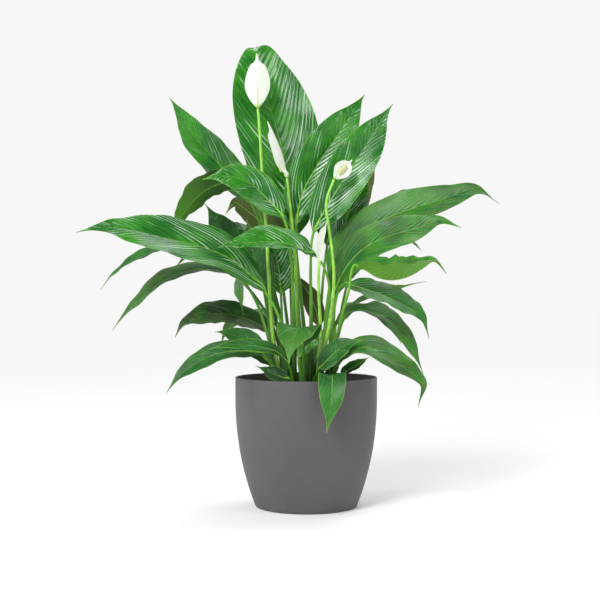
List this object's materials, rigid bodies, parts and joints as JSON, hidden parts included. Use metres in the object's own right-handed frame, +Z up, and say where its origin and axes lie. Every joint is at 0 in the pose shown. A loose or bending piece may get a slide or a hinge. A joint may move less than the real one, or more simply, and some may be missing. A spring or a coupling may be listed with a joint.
{
  "type": "potted peace lily",
  "caption": "Peace lily with arching glossy leaves and white hooded flowers, rooted in a grower's pot inside a tapered round cover pot.",
  "frame": {"origin": "centre of the cover pot's foot, on the surface it stands on", "axes": "+Z up along the pot's axis, -Y towards the plant's front, +X to the right as seen from the front"},
  "size_m": [0.6399, 0.3355, 0.7625],
  "materials": {
    "leaf": "gloss",
    "stem": "satin",
    "spathe": "satin",
    "spadix": "matte",
    "cover_pot": "matte",
    "grower_pot": "matte",
    "soil": "matte"
  },
  "bodies": {
    "root": {"leaf_top_centre": "leaf", "leaf_upper_right_back": "leaf", "leaf_upper_right_front": "leaf", "leaf_upper_left": "leaf", "leaf_left_arch": "leaf", "leaf_left_droop": "leaf", "leaf_left_long": "leaf", "leaf_far_left_small": "leaf", "leaf_left_low": "leaf", "leaf_left_back_dark": "leaf", "leaf_left_back_brown": "leaf", "leaf_front_glossy": "leaf", "leaf_left_fan": "leaf", "leaf_left_hanging": "leaf", "leaf_centre_upright": "leaf", "leaf_right_upright": "leaf", "leaf_right_upright_brown": "leaf", "leaf_right_long": "leaf", "leaf_right_second": "leaf", "leaf_right_back_rolled": "leaf", "leaf_right_boat": "leaf", "leaf_right_dark": "leaf", "leaf_right_back_thin": "leaf", "leaf_right_twisted": "leaf", "leaf_low_right_front": "leaf", "leaf_over_rim": "leaf", "leaf_rim_left": "leaf", "leaf_low_left_front": "leaf", "leaf_low_left_dark": "leaf", "leaf_low_left_brown": "leaf", "leaf_low_left_thin": "leaf", "leaf_front_fold": "leaf", "leaf_inner_bright": "leaf", "leaf_inner_right": "leaf", "leaf_low_right_light": "leaf", "leaf_back_centre_brown": "leaf", "leaf_back_tall": "leaf", "leaf_back_upper_right": "leaf", "leaf_back_right": "leaf", "leaf_back_left": "leaf", "leaf_back_mid_left": "leaf", "leaf_back_low_right": "leaf", "leaf_back_low_left": "leaf", "leaf_back_low_centre": "leaf", "flower_tall_stem": "stem", "flower_tall_spathe": "spathe", "flower_tall_spadix": "spadix", "flower_side_stem": "stem", "flower_side_spathe": "spathe", "flower_side_spadix": "spadix", "flower_open_stem": "stem", "flower_open_spathe": "spathe", "flower_open_spadix": "spadix", "flower_bud_stem": "stem", "flower_bud_spathe": "spathe", "cover_pot": "cover_pot", "grower_pot": "grower_pot", "root_ball": "soil"}
  },
  "joints": []
}
